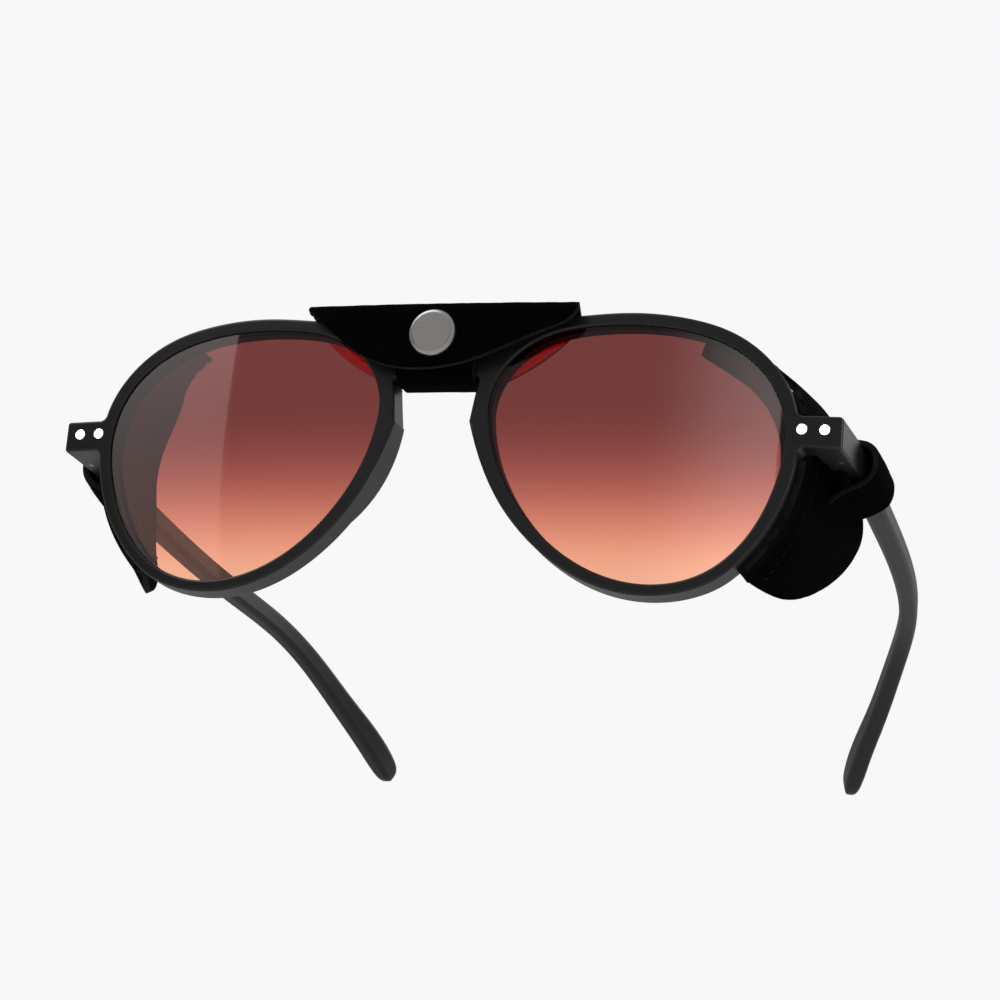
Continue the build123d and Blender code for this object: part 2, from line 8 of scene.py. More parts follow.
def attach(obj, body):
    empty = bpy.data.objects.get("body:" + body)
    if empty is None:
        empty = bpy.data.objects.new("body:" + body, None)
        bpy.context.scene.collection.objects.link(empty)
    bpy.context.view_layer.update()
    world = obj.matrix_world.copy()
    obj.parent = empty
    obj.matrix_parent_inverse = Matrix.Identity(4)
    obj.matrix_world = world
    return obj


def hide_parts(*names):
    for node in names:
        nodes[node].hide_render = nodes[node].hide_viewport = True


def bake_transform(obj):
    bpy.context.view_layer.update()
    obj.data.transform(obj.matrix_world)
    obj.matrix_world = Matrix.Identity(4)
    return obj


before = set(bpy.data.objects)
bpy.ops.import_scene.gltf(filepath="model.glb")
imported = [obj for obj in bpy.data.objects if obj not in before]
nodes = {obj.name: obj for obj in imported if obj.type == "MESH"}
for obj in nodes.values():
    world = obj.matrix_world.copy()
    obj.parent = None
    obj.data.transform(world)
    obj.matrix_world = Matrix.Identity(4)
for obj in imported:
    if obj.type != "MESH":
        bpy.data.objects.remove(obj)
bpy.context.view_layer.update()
scene = bpy.context.scene

MM = 0.001

# ---- camera, in degrees, metres and, for its lens, millimetres ----
CAMERA_AZIMUTH, CAMERA_ELEVATION, CAMERA_ROLL = 18.107, -15.807, 5.119
CAMERA_PLACE = (0.17610, -0.49571, -0.16151)
CAMERA_LENS, CAMERA_SENSOR = 112.3, 36.0

# ---- measures shared with part.py, in millimetres ----
BOW_ACROSS = 555.0
BOW_UPRIGHT = 385.0
FRONT_DEPTH = 5.4
LEATHER = 1.2
RIM = [
    (35.0, 21.0), (44.3, 20.1), (53.1, 17.3), (60.4, 11.5), (64.1, 5.0), (65.1, -2.0), (64.0, -10.0),
    (61.0, -17.3), (57.4, -22.4), (53.2, -26.4), (47.7, -29.0), (41.0, -30.05),
]
SHIELD_REAR = [
    (54.9, 19.0, 17.4), (58.4, 23.0, 16.1), (61.8, 28.6, 14.0), (64.4, 32.0, 11.5), (66.3, 33.3, 8.0),
    (67.7, 34.2, 4.0), (68.9, 36.4, 0), (69.8, 39.6, -4.0), (70.0, 41.0, -8.0), (69.2, 40.2, -12.0),
    (67.4, 38.0, -16.2), (65.2, 34.0, -20.0), (62.6, 27.5, -23.7), (60.0, 20.0, -25.8), (57.3, 12.5, -25.7),
]
FLAP_FACE = -3.5
FLAP_BACK = 8.8
FOLD_TOP = 22.4
FOLD_CORNER = 3.2
FRONT_MOON = [
    (-24.4, 21.1), (-17.2, 14.8), (-10.8, 10.9), (-1.5, 9.5), (6.0, 10.6), (15.1, 14.2), (21.0, 16.8),
    (25.2, 19.2), (26.1, 21.0),
]
BACK_MOON = [
    (-26.2, 20.8), (-23.1, 17.6), (-19.7, 14.8), (-14.5, 11.8), (-8.0, 9.9), (0, 9.3), (8.5, 9.9),
    (14.8, 13.1), (20.4, 17.5), (23.4, 20.9),
]
TAB_FRONT = -1.3
TAB_UNDER = 7.6
TAB_HALF_WIDTH = 7.3
TAB_REAR = 7.05


def bow(x, z):
    """How far the front surface lies behind the bridge at a place on the front."""
    return x**2 / (2 * BOW_ACROSS) + z**2 / (2 * BOW_UPRIGHT)


# ---- camera ----
def add_camera():
    """A camera at the photograph's viewing angle, below the glasses and to their left, rolled a little."""
    azimuth, elevation, roll = [math.radians(a) for a in (CAMERA_AZIMUTH, CAMERA_ELEVATION, CAMERA_ROLL)]
    back = Vector((
        math.sin(azimuth) * math.cos(elevation), -math.cos(azimuth) * math.cos(elevation), math.sin(elevation),
    ))
    level = (-back).cross(Vector((0, 0, 1))).normalized()
    upright = level.cross(-back)
    right = level * math.cos(roll) + upright * math.sin(roll)
    up = upright * math.cos(roll) - level * math.sin(roll)
    data = bpy.data.cameras.new("camera")
    data.lens = CAMERA_LENS
    data.sensor_width = CAMERA_SENSOR
    data.clip_start = 0.01
    data.clip_end = 20.0
    camera = bpy.data.objects.new("camera", data)
    scene.collection.objects.link(camera)
    place = Matrix((right, up, back)).transposed().to_4x4()
    place.translation = Vector(CAMERA_PLACE)
    camera.matrix_world = place
    scene.camera = camera


add_camera()


# ---- materials ----
class Shading:
    """A new material with its node tree, and short ways to add nodes to it."""

    def __init__(self, name):
        self.material = bpy.data.materials.new(name)
        self.material.use_nodes = True
        self.tree = self.material.node_tree
        self.shader = self.tree.nodes["Principled BSDF"]
        self.output = self.tree.nodes["Material Output"]
        self.place = self.add("ShaderNodeTexCoord").outputs["Object"]

    def add(self, kind, **settings):
        node = self.tree.nodes.new(kind)
        for name, value in settings.items():
            setattr(node, name, value)
        return node

    def link(self, source, target):
        self.tree.links.new(source, target)

    def grain(self, size_mm, detail=3.0, roughness=0.5, stretch=(1, 1, 1)):
        """Noise whose spots are about a size, in millimetres."""
        mapping = self.add("ShaderNodeMapping")
        mapping.inputs["Scale"].default_value = stretch
        self.link(self.place, mapping.inputs["Vector"])
        texture = self.add("ShaderNodeTexNoise")
        texture.inputs["Scale"].default_value = 1 / (size_mm * MM)
        texture.inputs["Detail"].default_value = detail
        texture.inputs["Roughness"].default_value = roughness
        self.link(mapping.outputs["Vector"], texture.inputs["Vector"])
        return texture.outputs["Fac"]

    def ramp(self, source, stops):
        """Colours or values along a source that runs from 0 to 1."""
        ramp = self.add("ShaderNodeValToRGB")
        elements = ramp.color_ramp.elements
        while len(elements) < len(stops):
            elements.new(1.0)
        for element, (position, colour) in zip(elements, stops):
            element.position = position
            element.color = (*colour, 1) if isinstance(colour, tuple) else (colour, colour, colour, 1)
        self.link(source, ramp.inputs["Fac"])
        return ramp.outputs["Color"]

    def spread(self, source, low, high):
        """A source from 0 to 1 spread between two values."""
        spread = self.add("ShaderNodeMapRange")
        spread.inputs["To Min"].default_value = low
        spread.inputs["To Max"].default_value = high
        self.link(source, spread.inputs["Value"])
        return spread.outputs["Result"]

    def bump(self, layers):
        """Bumps from height sources. Each layer is a source, its depth in millimetres and its strength."""
        normal = None
        for source, depth, strength in layers:
            bump = self.add("ShaderNodeBump")
            bump.inputs["Distance"].default_value = depth * MM
            bump.inputs["Strength"].default_value = strength
            self.link(source, bump.inputs["Height"])
            if normal is not None:
                self.link(normal, bump.inputs["Normal"])
            normal = bump.outputs["Normal"]
        self.link(normal, self.shader.inputs["Normal"])


def plastic(name, dark, light, gloss):
    """Moulded black nylon: satin, with a fine moulding grain."""
    s = Shading(name)
    s.link(s.ramp(s.grain(6.0), [(0.3, dark), (0.7, light)]), s.shader.inputs["Base Color"])
    s.link(s.spread(s.grain(2.5, 5.0), gloss - 0.04, gloss + 0.05), s.shader.inputs["Roughness"])
    s.bump([(s.grain(0.35, 2.0), 0.02, 0.10), (s.grain(9.0, 1.0), 0.15, 0.06)])
    s.shader.inputs["IOR"].default_value = 1.5
    return s.material


def suede(name, dark, light, sheen):
    """Napped leather: fine fibres, with the patches that a hand leaves in the nap."""
    s = Shading(name)
    fibres = s.grain(0.22, 6.0, 0.7)
    patches = s.grain(5.0, 2.0)
    mixed = s.add("ShaderNodeMath", operation="MULTIPLY_ADD")
    mixed.inputs[1].default_value = 0.7
    s.link(fibres, mixed.inputs[0])
    scaled = s.spread(patches, -0.05, 0.35)
    s.link(scaled, mixed.inputs[2])
    s.link(s.ramp(mixed.outputs[0], [(0.3, dark), (0.75, light)]), s.shader.inputs["Base Color"])
    s.link(s.spread(fibres, 0.82, 1.0), s.shader.inputs["Roughness"])
    s.bump([(s.grain(1.6, 3.0), 0.25, 0.35), (fibres, 0.12, 0.7)])
    s.shader.inputs["Specular IOR Level"].default_value = 0.02
    s.shader.inputs["Sheen Weight"].default_value = sheen
    s.shader.inputs["Sheen Roughness"].default_value = 0.45
    return s.material


def metal(name, dark, light, rough_low, rough_high, size_mm, stretch=(1, 1, 1)):
    """Worked metal with a fine grain in its roughness and its colour."""
    s = Shading(name)
    grain = s.grain(size_mm, 4.0, 0.6, stretch)
    s.link(s.ramp(grain, [(0.3, dark), (0.7, light)]), s.shader.inputs["Base Color"])
    s.link(s.spread(grain, rough_low, rough_high), s.shader.inputs["Roughness"])
    s.bump([(grain, 0.02, 0.12)])
    s.shader.inputs["Metallic"].default_value = 1.0
    return s.material


# How much red, green and blue a lens lets through low down, where it is clearest, and at the brow.
LENS_CLEAR = (0.97, 0.48, 0.33)
LENS_DARK = (0.18, 0.04, 0.037)
TINT_RANGES = ((-26.0, 7.0), (-29.0, 5.0), (-31.0, 4.5))   # the heights that each colour fades between
LENS_IOR = 1.45
MIRROR_ROUGHNESS = 0.02
MIRROR_COLOUR = (1.0, 0.92, 0.9, 1)


def lens_glass():
    """A thin tinted lens: each of its two faces passes the square root of the tint, and mirrors a little.
    The dye's density rises smoothly towards the brow, so what it lets through is a power of that rise."""
    s = Shading("lens_tint")
    split = s.add("ShaderNodeSeparateXYZ")
    s.link(s.place, split.inputs["Vector"])
    tint = s.add("ShaderNodeCombineColor")
    channels = zip(("Red", "Green", "Blue"), LENS_CLEAR, LENS_DARK, TINT_RANGES)
    for channel, clear, dark, (low, high) in channels:
        density = s.add("ShaderNodeMapRange", interpolation_type="SMOOTHSTEP")
        density.inputs["From Min"].default_value = low * MM
        density.inputs["From Max"].default_value = high * MM
        s.link(split.outputs["Z"], density.inputs["Value"])
        fading = s.add("ShaderNodeMath", operation="POWER")
        fading.inputs[0].default_value = math.sqrt(dark / clear)
        s.link(density.outputs["Result"], fading.inputs[1])
        passed = s.add("ShaderNodeMath", operation="MULTIPLY")
        passed.inputs[1].default_value = math.sqrt(clear)
        s.link(fading.outputs[0], passed.inputs[0])
        s.link(passed.outputs[0], tint.inputs[channel])
    passing = s.add("ShaderNodeBsdfTransparent")
    s.link(tint.outputs["Color"], passing.inputs["Color"])
    mirror = s.add("ShaderNodeBsdfAnisotropic")
    mirror.inputs["Roughness"].default_value = MIRROR_ROUGHNESS
    mirror.inputs["Color"].default_value = MIRROR_COLOUR
    fresnel = s.add("ShaderNodeFresnel")
    fresnel.inputs["IOR"].default_value = LENS_IOR
    mix = s.add("ShaderNodeMixShader")
    s.link(fresnel.outputs["Fac"], mix.inputs["Fac"])
    s.link(passing.outputs[0], mix.inputs[1])
    s.link(mirror.outputs[0], mix.inputs[2])
    s.link(mix.outputs[0], s.output.inputs["Surface"])
    s.tree.nodes.remove(s.shader)
    return s.material


frame_black = plastic("frame_black", (0.0085, 0.0085, 0.009), (0.0115, 0.0115, 0.012), 0.36)
temple_black = plastic("temple_black", (0.0080, 0.0080, 0.0085), (0.0105, 0.0105, 0.011), 0.40)
black_suede = suede("black_suede", (0.0006, 0.0006, 0.0006), (0.0034, 0.0033, 0.0033), 0.0)
cut_leather = suede("cut_leather", (0.010, 0.010, 0.0105), (0.034, 0.034, 0.035), 0.02)
red_suede = suede("red_suede", (0.48, 0.006, 0.010), (0.72, 0.014, 0.018), 0.05)
thread = suede("thread", (0.006, 0.006, 0.006), (0.016, 0.016, 0.016), 0.05)
rivet_metal = metal("rivet_metal", (0.86, 0.86, 0.86), (0.97, 0.97, 0.97), 0.30, 0.42, 0.5)
hinge_steel = metal("hinge_steel", (0.36, 0.36, 0.37), (0.58, 0.58, 0.6), 0.22, 0.4, 0.4, (1, 1, 6))
snap_metal = metal("snap_metal", (0.50, 0.485, 0.47), (0.60, 0.58, 0.56), 0.26, 0.36, 0.3)
lens_tint = lens_glass()

CAD_MATERIALS = {
    "front_frame": frame_black, "lens": lens_tint, "front_rivets": rivet_metal, "hinge_front_leaf": hinge_steel,
    "hinge_temple_leaf": hinge_steel, "hinge_screw": hinge_steel, "hinge_anchor_pin": hinge_steel,
    "temple": temple_black, "snap_cap": snap_metal, "snap_socket": snap_metal, "snap_stud": snap_metal,
}
for name, node in nodes.items():
    material = CAD_MATERIALS.get(name.removesuffix("_left").removesuffix("_right"))
    if material is not None:
        for place in node.material_slots:
            place.material = material
        if not node.material_slots:
            node.data.materials.append(material)


# ---- mesh helpers, in millimetres ----
EDGE_ROUND = 0.22
NAP = 0.035
THIN_NAP = 0.03


def smooth_curve(points, count):
    """A natural cubic through the points, as a number of points evenly spaced along it."""
    p = np.array(points, float)
    t = np.concatenate([[0], np.cumsum(np.linalg.norm(np.diff(p, axis=0), axis=1))])
    h = np.diff(t)
    n = len(p)
    a, b = np.zeros((n, n)), np.zeros_like(p)
    a[0, 0] = a[-1, -1] = 1
    for i in range(1, n - 1):
        a[i, i - 1:i + 2] = h[i - 1], 2 * (h[i - 1] + h[i]), h[i]
        b[i] = 6 * ((p[i + 1] - p[i]) / h[i] - (p[i] - p[i - 1]) / h[i - 1])
    m = np.linalg.solve(a, b)

    def at(s):
        k = np.clip(np.searchsorted(t, s, side="right") - 1, 0, n - 2)
        left, right = (t[k + 1] - s)[:, None], (s - t[k])[:, None]
        width = h[k][:, None]
        return (
            (m[k] * left**3 + m[k + 1] * right**3) / (6 * width)
            + (p[k] / width - m[k] * width / 6) * left
            + (p[k + 1] / width - m[k + 1] * width / 6) * right
        )

    fine = at(np.linspace(0, t[-1], 40 * n))
    length = np.concatenate([[0], np.cumsum(np.linalg.norm(np.diff(fine, axis=0), axis=1))])
    even = np.interp(np.linspace(0, length[-1], count), length, np.linspace(0, t[-1], 40 * n))
    return at(even)


def make_piece(name, points, faces, materials, mirrored=False):
    """A mesh object from points in millimetres. A mirrored one has its x and its faces turned round."""
    points = np.array(points, float) * MM
    if mirrored:
        points = points * (-1, 1, 1)
        faces = [face[::-1] for face in faces]
    mesh = bpy.data.meshes.new(name)
    mesh.from_pydata([tuple(p) for p in points], [], faces)
    mesh.validate()
    for material in materials:
        mesh.materials.append(material)
    mesh.shade_smooth()
    piece = bpy.data.objects.new(name, mesh)
    scene.collection.objects.link(piece)
    return piece


def apply_modifiers(piece):
    """Makes the piece's modifiers part of its mesh."""
    bpy.context.view_layer.update()
    made = bpy.data.meshes.new_from_object(piece.evaluated_get(bpy.context.evaluated_depsgraph_get()))
    piece.modifiers.clear()
    piece.data = made


def make_leather(piece, thickness, edge_round, nap):
    """Gives a surface the thickness of leather, rounded cut edges and the fine unevenness of its nap."""
    solid = piece.modifiers.new("thickness", "SOLIDIFY")
    solid.thickness = thickness * MM
    solid.offset = -1
    solid.use_even_offset = True
    solid.use_quality_normals = True
    solid.material_offset_rim = 1
    bevel = piece.modifiers.new("edges", "BEVEL")
    bevel.width = edge_round * MM
    bevel.segments = 2
    bevel.limit_method = "ANGLE"
    bevel.angle_limit = math.radians(50)
    bevel.material = -1
    apply_modifiers(piece)
    mesh = piece.data
    spots = np.empty(len(mesh.vertices) * 3, np.float32)
    normals = np.empty_like(spots)
    mesh.vertices.foreach_get("co", spots)
    mesh.vertex_normals.foreach_get("vector", normals)
    spots, normals = spots.reshape(-1, 3), normals.reshape(-1, 3)
    heights = [
        noise.noise(Vector(spot) * 2.1) * 0.6 + noise.noise(Vector(spot) * 0.45 + Vector((9, 4, 7))) * 1.2
        for spot in spots / MM
    ]
    spots += normals * np.array(heights, np.float32)[:, None] * (nap * MM)
    mesh.vertices.foreach_set("co", spots.ravel())
    mesh.shade_smooth()
    mesh.update()


def grid_faces(rows, columns, index, skip=lambda i, j: False):
    """Faces between neighbouring points of a grid, apart from the cells that are skipped."""
    return [
        (index(i, j), index(i + 1, j), index(i + 1, j + 1), index(i, j + 1))
        for i in range(rows - 1) for j in range(columns - 1) if not skip(i, j)
    ]


# ---- side shields ----
RIM_SAMPLES = 600
HEM_OUT = LEATHER + 0.05           # the shield's outside, from the rim's outline
HIDDEN_OUT = 0.1                   # the same at the brow, where the shield stays behind the rim
LIP_FRONT, LIP_REAR = 3.0, 6.2     # the lip over the rim's side, behind the front surface
LIP_COLUMNS = 6
PANEL_COLUMNS = 64
ROWS = 120
PANEL_BULGE = 0.5
LUG_GAP = (3.9, -4.5)              # the lip stops above and below the end piece
SHIELD_START, SHIELD_END = (53.6, 17.0), (55.5, -24.5)
rim = smooth_curve(RIM, RIM_SAMPLES)
rim_along = np.gradient(rim, axis=0)
rim_along /= np.linalg.norm(rim_along, axis=1)[:, None]
rim_outward = np.stack([-rim_along[:, 1], rim_along[:, 0]], axis=1)


def nearest_on_rim(x, z):
    return int(np.argmin(np.linalg.norm(rim - (x, z), axis=1)))


def rim_places(start, end, count):
    """Places along the rim from near one point to near another: its points and its outward directions."""
    spots = np.linspace(nearest_on_rim(*start), nearest_on_rim(*end), count)
    points = np.stack([np.interp(spots, range(RIM_SAMPLES), rim[:, k]) for k in (0, 1)], axis=1)
    outward = np.stack([np.interp(spots, range(RIM_SAMPLES), rim_outward[:, k]) for k in (0, 1)], axis=1)
    return points, outward / np.linalg.norm(outward, axis=1)[:, None]


def off_rim(point, outward, out, behind):
    """A point beside the rim's outline, at a distance behind the front surface."""
    x, z = point + outward * out
    return np.array([x, bow(x, z) + behind, z])


def eased(value, low, high):
    """0 below low, 1 above high, and smoothly between."""
    share = min(1.0, max(0.0, (value - low) / (high - low)))
    return share * share * (3 - 2 * share)


def panel_out(height):
    """How far the shield's outside stands off the rim's outline at a height."""
    return HEM_OUT + (HIDDEN_OUT - HEM_OUT) * eased(height, 9.0, 12.5)


def panel_grid():
    """The outside of a side shield: its lip over the rim, and the panel back to its free edge."""
    points, outward = rim_places(SHIELD_START, SHIELD_END, ROWS)
    rear = smooth_curve(SHIELD_REAR, ROWS)
    grid = np.zeros((ROWS, LIP_COLUMNS + PANEL_COLUMNS, 3))
    for i in range(ROWS):
        height = points[i][1]
        lip_front = LIP_FRONT + (FRONT_DEPTH + 0.08 - LIP_FRONT) * eased(height, 6.2, 9.0)
        for j in range(LIP_COLUMNS):
            behind = lip_front + (LIP_REAR - lip_front) * j / (LIP_COLUMNS - 1)
            grid[i, j] = off_rim(points[i], outward[i], panel_out(height), behind)
        hem = grid[i, LIP_COLUMNS - 1]
        bulge = PANEL_BULGE * math.sin(math.pi * i / (ROWS - 1))
        for j in range(1, PANEL_COLUMNS + 1):
            share = j / PANEL_COLUMNS
            spot = hem + (rear[i] - hem) * share
            spot[0] += bulge * math.sin(math.pi * share)
            grid[i, LIP_COLUMNS - 1 + j] = spot
    return grid


shield_grid = panel_grid()


def shield_surface():
    """The shield's outside as one surface, with a gap in its lip for the end piece."""
    rows, columns = shield_grid.shape[:2]

    def in_lug(i, j):
        return j < LIP_COLUMNS - 1 and LUG_GAP[1] < shield_grid[i, j, 2] < LUG_GAP[0]

    return shield_grid.reshape(-1, 3), grid_faces(rows, columns, lambda i, j: i * columns + j, in_lug)


def panel_x(y, z):
    """How far out the shield's outside lies at a place on it."""
    gap = (shield_grid[..., 1] - y) ** 2 + (shield_grid[..., 2] - z) ** 2
    return float(shield_grid[..., 0].ravel()[np.argmin(gap)])


# The strap's outside, seen from the front, at its front edge and its rear edge. Its ends go into the shield.
STRAP_FRONT, STRAP_REAR = 20.5, 31.5
STRAP_TUCK = -0.9
FRONT_STRAP = [
    (STRAP_TUCK, -10.4), (0.2, -9.0), (69.6, -7.2), (71.8, -6.05), (73.9, -5.05), (75.35, -3.65), (76.1, -1.8),
    (76.15, 0.2), (75.6, 1.8), (74.5, 2.8), (73.0, 3.3), (71.2, 3.6), (69.4, 4.3), (STRAP_TUCK, 5.6),
]
REAR_STRAP = [
    (STRAP_TUCK, -11.2), (0.2, -9.9), (71.2, -8.35), (73.2, -7.55), (75.1, -6.6), (76.5, -5.3), (77.1, -3.6),
    (77.05, -1.7), (76.4, -0.1), (75.3, 0.9), (73.8, 1.5), (72.0, 1.9), (70.4, 2.9), (STRAP_TUCK, 4.4),
]
STRAP_ROWS, STRAP_COLUMNS = 72, 22
STRAP_CROWN = 0.18


def strap_path(outline, y):
    """The strap's outline at a depth. Points with an x near zero are measured from the shield's outside."""
    path = [(x + panel_x(y, z) if abs(x) < 5 else x, z) for x, z in outline]
    return smooth_curve(path, STRAP_ROWS)


def strap_surface():
    """The strap that goes round the temple outside the shield."""
    front, rear = strap_path(FRONT_STRAP, STRAP_FRONT), strap_path(REAR_STRAP, STRAP_REAR)
    points = []
    for i in range(STRAP_ROWS):
        for j in range(STRAP_COLUMNS):
            share = j / (STRAP_COLUMNS - 1)
            x, z = front[i] + (rear[i] - front[i]) * share
            crown = STRAP_CROWN * math.sin(math.pi * share) * math.sin(math.pi * i / (STRAP_ROWS - 1))
            points.append((x + crown, STRAP_FRONT + (STRAP_REAR - STRAP_FRONT) * share, z))
    return points, grid_faces(STRAP_ROWS, STRAP_COLUMNS, lambda i, j: (STRAP_ROWS - 1 - i) * STRAP_COLUMNS + j)


BAND = 0.8                         # thickness of the leather behind the rim
BAND_ROUND = 0.18
BAND_GAP = 0.06
# How far in from the rim's outline the band behind the rim reaches, by the share of the way along it.
BAND_REACH = [
    (0, 4.6), (0.02, 5.0), (0.08, 5.6), (0.16, 5.9), (0.3, 5.5), (0.42, 5.0), (0.54, 4.1), (0.68, 3.4),
    (1, 3.2),
]
# The strip's turn from behind the rim to the shield's inside: how far in and how far back each point lies.
BAND_TURN = [
    (0.5, 0.0), (0.24, 0.08), (0.08, 0.26), (0, 0.6), (0, 1.5), (-0.1, 2.7), (-0.2, 3.9), (-0.3, 5.0),
]
BAND_COLUMNS = 7
# The band's upper end on the rim. The two are sewn on a little differently.
BAND_START = {"left": (47.2, 19.6), "right": (49.6, 18.8)}


def band_surface(side):
    """The leather behind the rim and its turned strip along the shield's inside, seen from behind."""
    points, outward = rim_places(BAND_START[side], SHIELD_END, ROWS)
    behind = FRONT_DEPTH + BAND_GAP + BAND
    made = []
    for i in range(ROWS):
        reach = np.interp(i / (ROWS - 1), *zip(*BAND_REACH))
        inside = panel_out(points[i][1]) - LEATHER - BAND - 2 * BAND_GAP
        for k in range(BAND_COLUMNS):
            out = -reach + (inside - BAND_TURN[0][0] + reach) * k / BAND_COLUMNS
            made.append(off_rim(points[i], outward[i], out, behind))
        for inward, back in BAND_TURN:
            made.append(off_rim(points[i], outward[i], inside - inward, behind + back))
    columns = BAND_COLUMNS + len(BAND_TURN)
    return made, grid_faces(ROWS, columns, lambda i, j: (ROWS - 1 - i) * columns + j)


def stitch_mesh(places, directions, normals, length, radius):
    """Short rounded stitches lying on a surface."""
    points, faces = [], []
    rings = [(-0.5, 0.15), (-0.44, 0.7), (-0.25, 1.0), (0.25, 1.0), (0.44, 0.7), (0.5, 0.15)]
    around = 8
    for place, direction, normal in zip(places, directions, normals):
        side = np.cross(direction, normal)
        base = len(points)
        for along, swell in rings:
            sink = radius * (1.1 - swell)
            for k in range(around):
                turn = 2 * math.pi * k / around
                offset = (side * math.cos(turn) + normal * math.sin(turn)) * radius * swell
                points.append(place + direction * along * length + offset - normal * sink)
        for i in range(len(rings) - 1):
            for k in range(around):
                a, b = base + i * around + k, base + i * around + (k + 1) % around
                faces.append((a, b, b + around, a + around))
        faces.append(tuple(base + k for k in reversed(range(around))))
        faces.append(tuple(base + (len(rings) - 1) * around + k for k in range(around)))
    return points, faces


STITCHES = 26
STITCH_LENGTH, THREAD_RADIUS = 1.35, 0.19
SEAM_FROM_HEM = 3.4
SEAM_LIFT = 0.08


def seam_stitches():
    """Stitches along the shield, a little behind its hem."""
    places, directions, normals = [], [], []
    column = LIP_COLUMNS - 1
    for step in range(STITCHES):
        i = round(5 + (ROWS - 14) * step / (STITCHES - 1))
        hem, rear = shield_grid[i, column], shield_grid[i, -1]
        reach = SEAM_FROM_HEM / np.linalg.norm(rear - hem)
        ahead = shield_grid[i + 1, column] + (shield_grid[i + 1, -1] - shield_grid[i + 1, column]) * reach
        here = hem + (rear - hem) * reach
        direction = (ahead - here) / np.linalg.norm(ahead - here)
        across = (rear - hem) / np.linalg.norm(rear - hem)
        normal = np.cross(direction, across)
        normal *= np.sign(normal[0]) / np.linalg.norm(normal)
        places.append(here + normal * SEAM_LIFT)
        directions.append(direction)
        normals.append(normal)
    return stitch_mesh(places, directions, normals, STITCH_LENGTH, THREAD_RADIUS)


def bend_with_temple(piece):
    """Bakes the piece's placement into its mesh."""
    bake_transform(piece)


for side in ("left", "right"):
    mirrored = side == "right"
    shield = make_piece(f"shield_leather_{side}", *shield_surface(), [black_suede, cut_leather], mirrored)
    make_leather(shield, LEATHER, EDGE_ROUND, NAP)
    bend_with_temple(shield)
    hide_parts(f"side_shield_{side}")

    strap = make_piece(f"shield_strap_{side}", *strap_surface(), [black_suede, cut_leather], mirrored)
    make_leather(strap, LEATHER, EDGE_ROUND, NAP)
    bend_with_temple(strap)
    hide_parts(f"shield_loop_{side}")

    band = make_piece(f"shield_band_{side}", *band_surface(side), [black_suede, black_suede], mirrored)
    make_leather(band, BAND, BAND_ROUND, THIN_NAP)
    bend_with_temple(band)
    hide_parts(f"shield_hem_{side}", f"shield_binding_{side}")

    seam = make_piece(f"shield_seam_{side}", *seam_stitches(), [thread], mirrored)
    bend_with_temple(seam)
    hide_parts(f"shield_stitching_{side}")


# ---- nose leather ----
LINING, LINING_ROUND, LINING_NAP = 0.42, 0.12, 0.02
LINING_GAP = 0.05
LINING_DROP = 0.3                  # how far the lining hangs below the leather behind it
LINING_START = 0.35                # where the lining begins, as a share of the way down the back
FLAP_SAG = 0.35                    # how far the front flap's wings stand forward, at most
FOLD_Y = (FLAP_BACK + FLAP_FACE) / 2
FOLD_HALF = (FLAP_BACK - FLAP_FACE) / 2
moons = [smooth_curve(outline, 400) for outline in (FRONT_MOON, BACK_MOON)]


def fold_point(s, depth=0.0):
    """A place on the folded leather's profile, at a depth in from its outside.
    s is 0 at the middle of the top, below zero towards the front and above zero towards the back."""
    flat = FOLD_HALF - FOLD_CORNER
    corner = FOLD_CORNER - depth
    way = abs(s)
    turn = math.pi / 2 * FOLD_CORNER
    if way < flat:
        y, z = way, FOLD_TOP - depth
    elif way < flat + turn:
        angle = (way - flat) / FOLD_CORNER
        y = flat + corner * math.sin(angle)
        z = FOLD_TOP - FOLD_CORNER + corner * math.cos(angle)
    else:
        y = flat + corner
        z = FOLD_TOP - FOLD_CORNER - (way - flat - turn)
    return FOLD_Y + math.copysign(y, s), z


def fold_reach(height):
    """How far along the profile the leather goes to come down to a height."""
    flat = FOLD_HALF - FOLD_CORNER
    if height > FOLD_TOP - FOLD_CORNER:
        return flat + FOLD_CORNER * math.acos((height - FOLD_TOP + FOLD_CORNER) / FOLD_CORNER)
    return flat + math.pi / 2 * FOLD_CORNER + (FOLD_TOP - FOLD_CORNER - height)


def folded_surface(back_only, rise, depth, columns=131, rows=97):
    """The folded leather, cut to a half moon in front and another behind. rise lifts its lower edges."""
    points = []
    for i in range(rows):
        for j in range(columns):
            share = j / (columns - 1)
            ends = [moon[0, 0] + (moon[-1, 0] - moon[0, 0]) * share for moon in moons]
            front, back = [
                fold_reach(float(np.interp(x, moon[:, 0], moon[:, 1])) + rise) for x, moon in zip(ends, moons)
            ]
            start = LINING_START * back if back_only else -front
            s = start + (back - start) * i / (rows - 1)
            y, z = fold_point(s, depth)
            x = ends[0] + (ends[1] - ends[0]) * (y - FLAP_FACE) / (FLAP_BACK - FLAP_FACE)
            if s < 0:
                wing = max(0.0, 1 - abs(abs(x) - 15) / 10)
                y -= FLAP_SAG * wing * max(0.0, (FOLD_TOP - 4 - z) / 6)
            points.append((x, y + bow(x, 0), z))
    return points, grid_faces(rows, columns, lambda i, j: (rows - 1 - i) * columns + j)


nose_leather = make_piece("nose_leather", *folded_surface(False, 0, 0), [black_suede, cut_leather])
make_leather(nose_leather, LEATHER, EDGE_ROUND, NAP)
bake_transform(nose_leather)
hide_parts("nose_cover", "nose_flap")

lining_surface = folded_surface(True, -LINING_DROP, LEATHER + LINING_GAP)
lining = make_piece("nose_lining_suede", *lining_surface, [red_suede, red_suede])
make_leather(lining, LINING, LINING_ROUND, LINING_NAP)
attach(lining, "front")
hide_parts("nose_lining")


